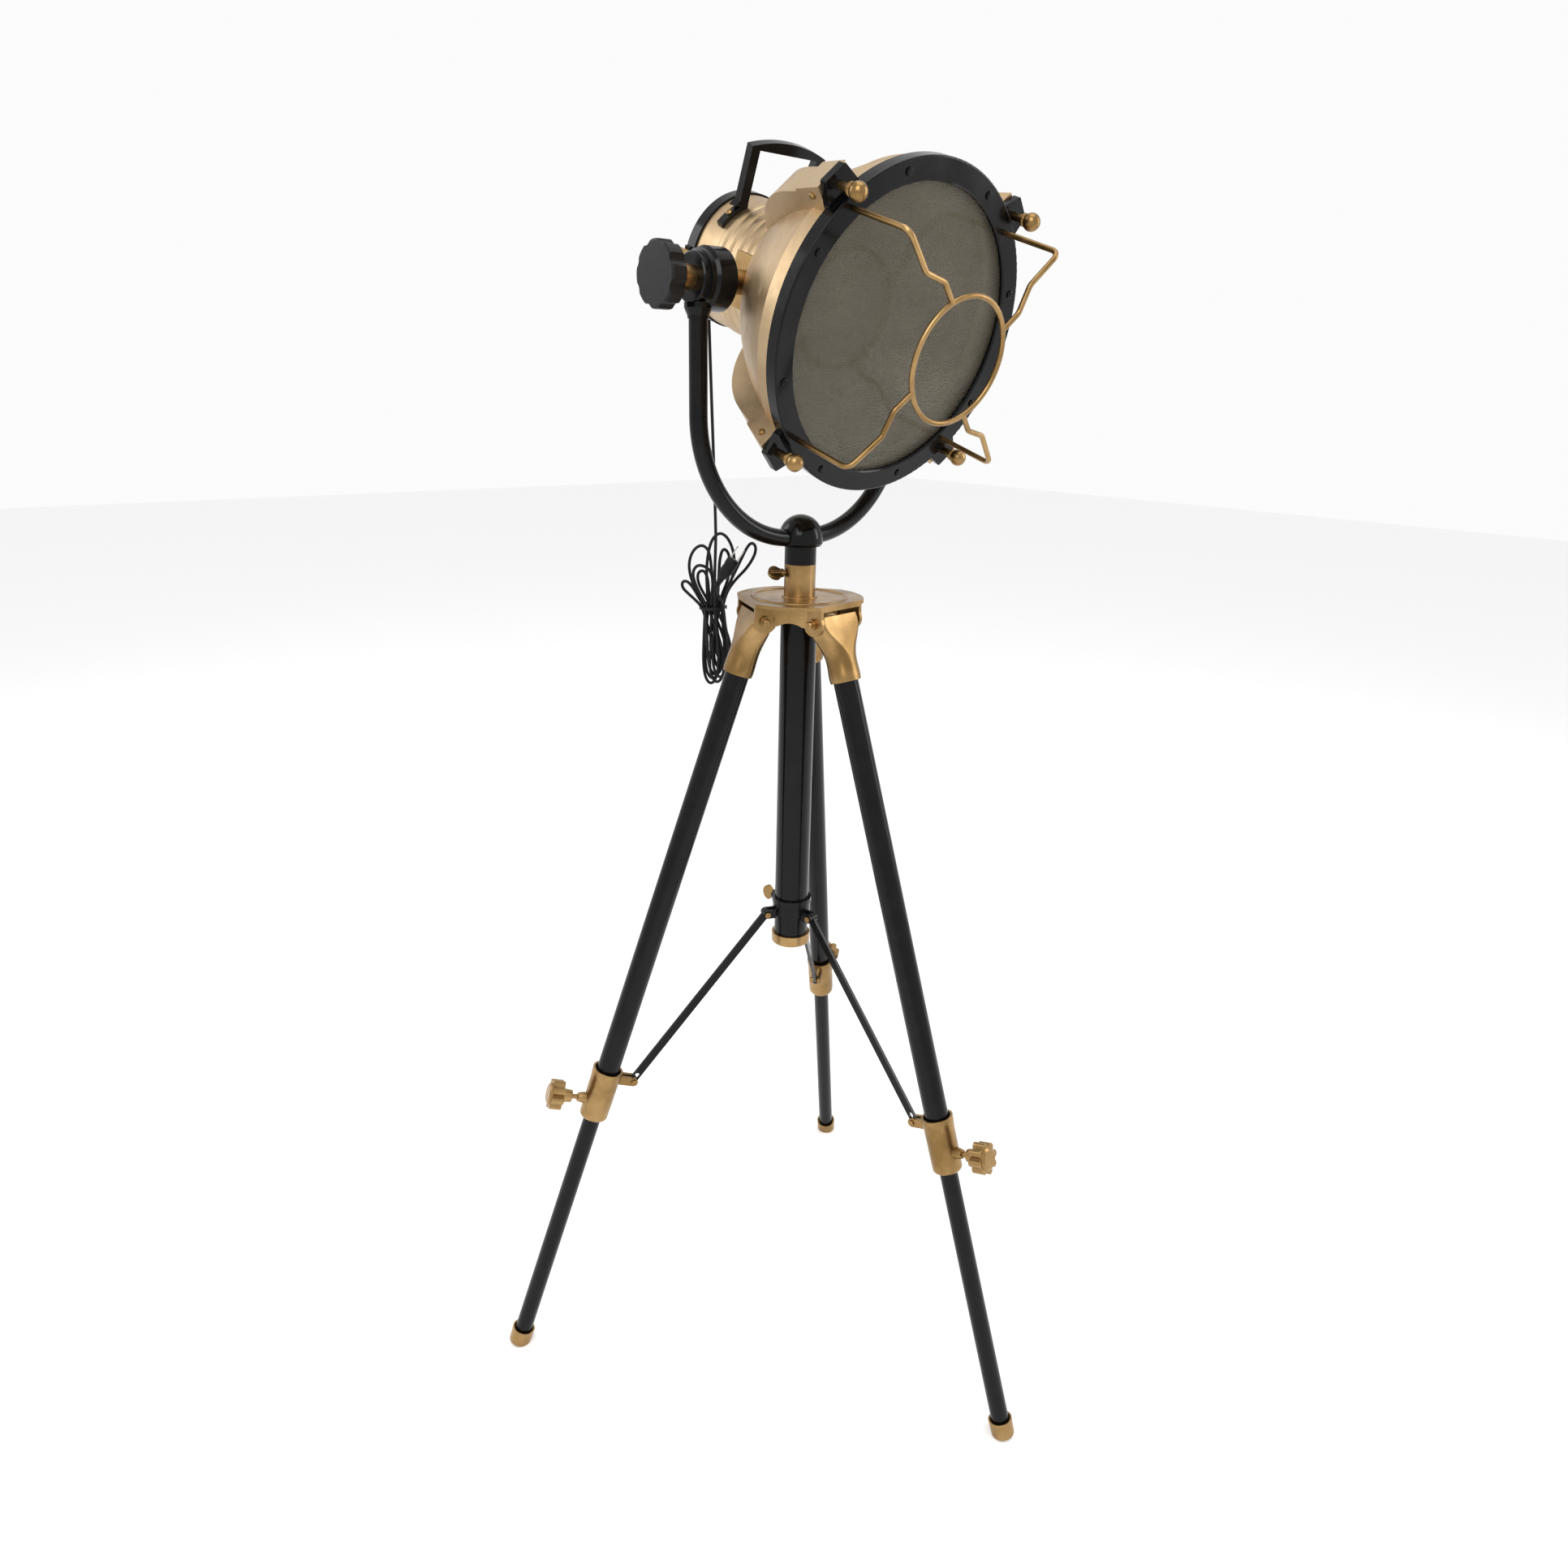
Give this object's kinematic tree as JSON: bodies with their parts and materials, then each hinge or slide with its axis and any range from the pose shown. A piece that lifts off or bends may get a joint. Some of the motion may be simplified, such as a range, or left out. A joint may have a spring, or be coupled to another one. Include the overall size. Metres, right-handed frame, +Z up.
{
  "type": "floor lamp",
  "caption": "Searchlight-style floor lamp: drum head with wire guard tilts in a U yoke on a folding tripod with telescopic legs, sliding spreader, clamp knobs and a corded plug.",
  "frame": {"origin": "on the floor, under the middle of the lamp's outline seen from above, cord left out", "axes": "+Z up; the head faces -Y; +X is the side of the right-hand clamp knob seen by somebody who looks at the lens"},
  "size_m": [0.6593, 0.6135, 1.453],
  "materials": {
    "black_enamel": "gloss black enamel",
    "black_plastic": "moulded black",
    "bronze": "antique bronze, satin",
    "bronze_sheet": "antique bronze, smooth satin",
    "bulb_glass": "clear warm",
    "lens": "clear",
    "mesh": "fine dark mesh",
    "porcelain": "glazed",
    "rubber": "smooth black sheath"
  },
  "bodies": {
    "tripod": {"tripod_hub": "bronze", "column_tube": "black_enamel", "column_cap": "bronze", "socket_collar": "bronze", "leg_pivot_bolts": "bronze"},
    "spreader": {"spreader_clamp": "black_enamel", "spreader_pins": "bronze"},
    "spreader_screw": {"spreader_thumbscrew": "bronze"},
    "socket_screw": {"socket_thumbscrew": "bronze"},
    "leg_1": {"leg_socket_1": "bronze", "upper_leg_tube_1": "black_enamel", "leg_collar_1": "bronze", "collar_pin_1": "bronze"},
    "lower_leg_1": {"lower_leg_tube_1": "black_enamel", "foot_cap_1": "bronze"},
    "knob_1": {"collar_knob_1": "bronze"},
    "strut_1": {"strut_1": "black_enamel"},
    "leg_2": {"leg_socket_2": "bronze", "upper_leg_tube_2": "black_enamel", "leg_collar_2": "bronze", "collar_pin_2": "bronze"},
    "lower_leg_2": {"lower_leg_tube_2": "black_enamel", "foot_cap_2": "bronze"},
    "knob_2": {"collar_knob_2": "bronze"},
    "strut_2": {"strut_2": "black_enamel"},
    "leg_3": {"leg_socket_3": "bronze", "upper_leg_tube_3": "black_enamel", "leg_collar_3": "bronze", "collar_pin_3": "bronze"},
    "lower_leg_3": {"lower_leg_tube_3": "black_enamel", "foot_cap_3": "bronze"},
    "knob_3": {"collar_knob_3": "bronze"},
    "strut_3": {"strut_3": "black_enamel"},
    "yoke": {"yoke_tube": "black_enamel", "yoke_ball": "black_enamel", "pivot_housing_left": "black_enamel", "pivot_housing_right": "black_enamel"},
    "tilt_knob_left": {"tilt_knob_left": "black_plastic"},
    "tilt_knob_right": {"tilt_knob_right": "black_plastic"},
    "head": {"lamp_barrel": "bronze_sheet", "lamp_bowl": "bronze_sheet", "front_ring": "black_enamel", "ring_screws": "black_enamel", "guard_studs": "bronze", "lens_glass": "lens", "mesh_screen": "mesh", "wire_guard": "bronze", "channel_brackets": "bronze_sheet", "carry_handle": "black_enamel", "trunnions": "bronze", "head_hardware": "bronze"},
    "rear": {"rear_cap": "black_enamel", "lamp_holder": "porcelain", "bulb": "bulb_glass", "cord_gland": "black_plastic"},
    "latch_left": {"latch_lever_left": "bronze"},
    "latch_right": {"latch_lever_right": "bronze"},
    "cord": {"cord_lead": "rubber", "cord_hank": "rubber", "cord_plug": "rubber"}
  },
  "joints": [
    {"name": "leg_fold_1", "type": "hinge", "parent": "tripod", "child": "leg_1", "pos_m": [0.02858, 0.02058, 0.9648], "axis": [0.9925, 0.1219, 0], "range_deg": [0, 14]},
    {"name": "leg_fold_2", "type": "hinge", "parent": "tripod", "child": "leg_2", "pos_m": [0.06343, 0.10269, 0.9648], "axis": [-0.6018, 0.7986, 0], "range_deg": [0, 14]},
    {"name": "leg_fold_3", "type": "hinge", "parent": "tripod", "child": "leg_3", "pos_m": [-0.02511, 0.09182, 0.9648], "axis": [-0.3907, -0.9205, 0], "range_deg": [0, 14]},
    {"name": "spreader_slide", "type": "slide", "parent": "tripod", "child": "spreader", "axis": [0, 0, 1], "range_m": [0, 0.0414]},
    {"name": "strut_swing_1", "type": "hinge", "parent": "spreader", "child": "strut_1", "pos_m": [0.02632, 0.03895, 0.588], "axis": [0.9925, 0.1219, 0], "range_deg": [0, 34.03]},
    {"name": "strut_swing_2", "type": "hinge", "parent": "spreader", "child": "strut_2", "pos_m": [0.04865, 0.09156, 0.588], "axis": [-0.6018, 0.7986, 0], "range_deg": [0, 34.03]},
    {"name": "strut_swing_3", "type": "hinge", "parent": "spreader", "child": "strut_3", "pos_m": [-0.00808, 0.08459, 0.588], "axis": [-0.3907, -0.9205, 0], "range_deg": [0, 34.03]},
    {"name": "leg_extend_1", "type": "slide", "parent": "leg_1", "child": "lower_leg_1", "axis": [-0.0381, 0.31, 0.95], "range_m": [0, 0.3]},
    {"name": "leg_extend_2", "type": "slide", "parent": "leg_2", "child": "lower_leg_2", "axis": [-0.2494, -0.188, 0.95], "range_m": [0, 0.3]},
    {"name": "leg_extend_3", "type": "slide", "parent": "leg_3", "child": "lower_leg_3", "axis": [0.2875, -0.122, 0.95], "range_m": [0, 0.3]},
    {"name": "collar_knob_1", "type": "hinge", "parent": "leg_1", "child": "knob_1", "pos_m": [0.05849, -0.22301, 0.37073], "axis": [0.1158, -0.9429, 0.3123], "range_deg": [-180, 180]},
    {"name": "collar_knob_2", "type": "hinge", "parent": "leg_2", "child": "knob_2", "pos_m": [0.25944, 0.25039, 0.37073], "axis": [0.7587, 0.5717, 0.3123], "range_deg": [-180, 180]},
    {"name": "collar_knob_3", "type": "hinge", "parent": "leg_3", "child": "knob_3", "pos_m": [-0.25102, 0.18772, 0.37073], "axis": [-0.8745, 0.3712, 0.3123], "range_deg": [-180, 180]},
    {"name": "socket_screw_turn", "type": "hinge", "parent": "tripod", "child": "socket_screw", "pos_m": [0.00021, 0.08108, 1.013], "axis": [-0.9205, 0.3907, 0], "range_deg": [-90, 180]},
    {"name": "spreader_screw_turn", "type": "hinge", "parent": "spreader", "child": "spreader_screw", "pos_m": [0.01864, 0.10148, 0.6007], "axis": [-0.1219, 0.9925, 0], "range_deg": [-180, 180]},
    {"name": "yoke_pan", "type": "hinge", "parent": "tripod", "child": "yoke", "pos_m": [0.0223, 0.0717, 1.023], "axis": [0, 0, 1], "range_deg": [-150, 150]},
    {"name": "head_tilt", "type": "hinge", "parent": "yoke", "child": "head", "pos_m": [0.0223, 0.0717, 1.3109], "axis": [-1, 0, 0], "range_deg": [-15, 60]},
    {"name": "tilt_knob_left_turn", "type": "hinge", "parent": "head", "child": "tilt_knob_left", "pos_m": [-0.1642, 0.0717, 1.3109], "axis": [-1, 0, 0], "range_deg": [-180, 180]},
    {"name": "tilt_knob_right_turn", "type": "hinge", "parent": "head", "child": "tilt_knob_right", "pos_m": [0.2088, 0.0717, 1.3109], "axis": [1, 0, 0], "range_deg": [-180, 180]},
    {"name": "rear_cap_pull", "type": "slide", "parent": "head", "child": "rear", "axis": [0, 0.9516, 0.3074], "range_m": [0, 0.06]},
    {"name": "latch_left_open", "type": "hinge", "parent": "head", "child": "latch_left", "pos_m": [-0.0543, 0.16873, 1.33909], "axis": [0, -0.3074, 0.9516], "range_deg": [0, 90]},
    {"name": "latch_right_open", "type": "hinge", "parent": "head", "child": "latch_right", "pos_m": [0.0989, 0.16873, 1.33909], "axis": [0, 0.3074, -0.9516], "range_deg": [0, 90]},
    {"name": "cord_swing", "type": "hinge", "parent": "rear", "child": "cord", "pos_m": [0.0223, 0.23087, 1.31732], "axis": [-1, 0, 0], "range_deg": [-75, 20]}
  ],
  "couplings": [
    {"joint": "leg_fold_2", "follows": "leg_fold_1", "ratio": 1},
    {"joint": "leg_fold_3", "follows": "leg_fold_1", "ratio": 1},
    {"joint": "spreader_slide", "follows": "leg_fold_1", "m_per_rad": 0.16723},
    {"joint": "strut_swing_1", "follows": "leg_fold_1", "ratio": 2.4215},
    {"joint": "strut_swing_2", "follows": "leg_fold_1", "ratio": 2.4215},
    {"joint": "strut_swing_3", "follows": "leg_fold_1", "ratio": 2.4215},
    {"joint": "cord_swing", "follows": "head_tilt", "ratio": -1.2}
  ]
}
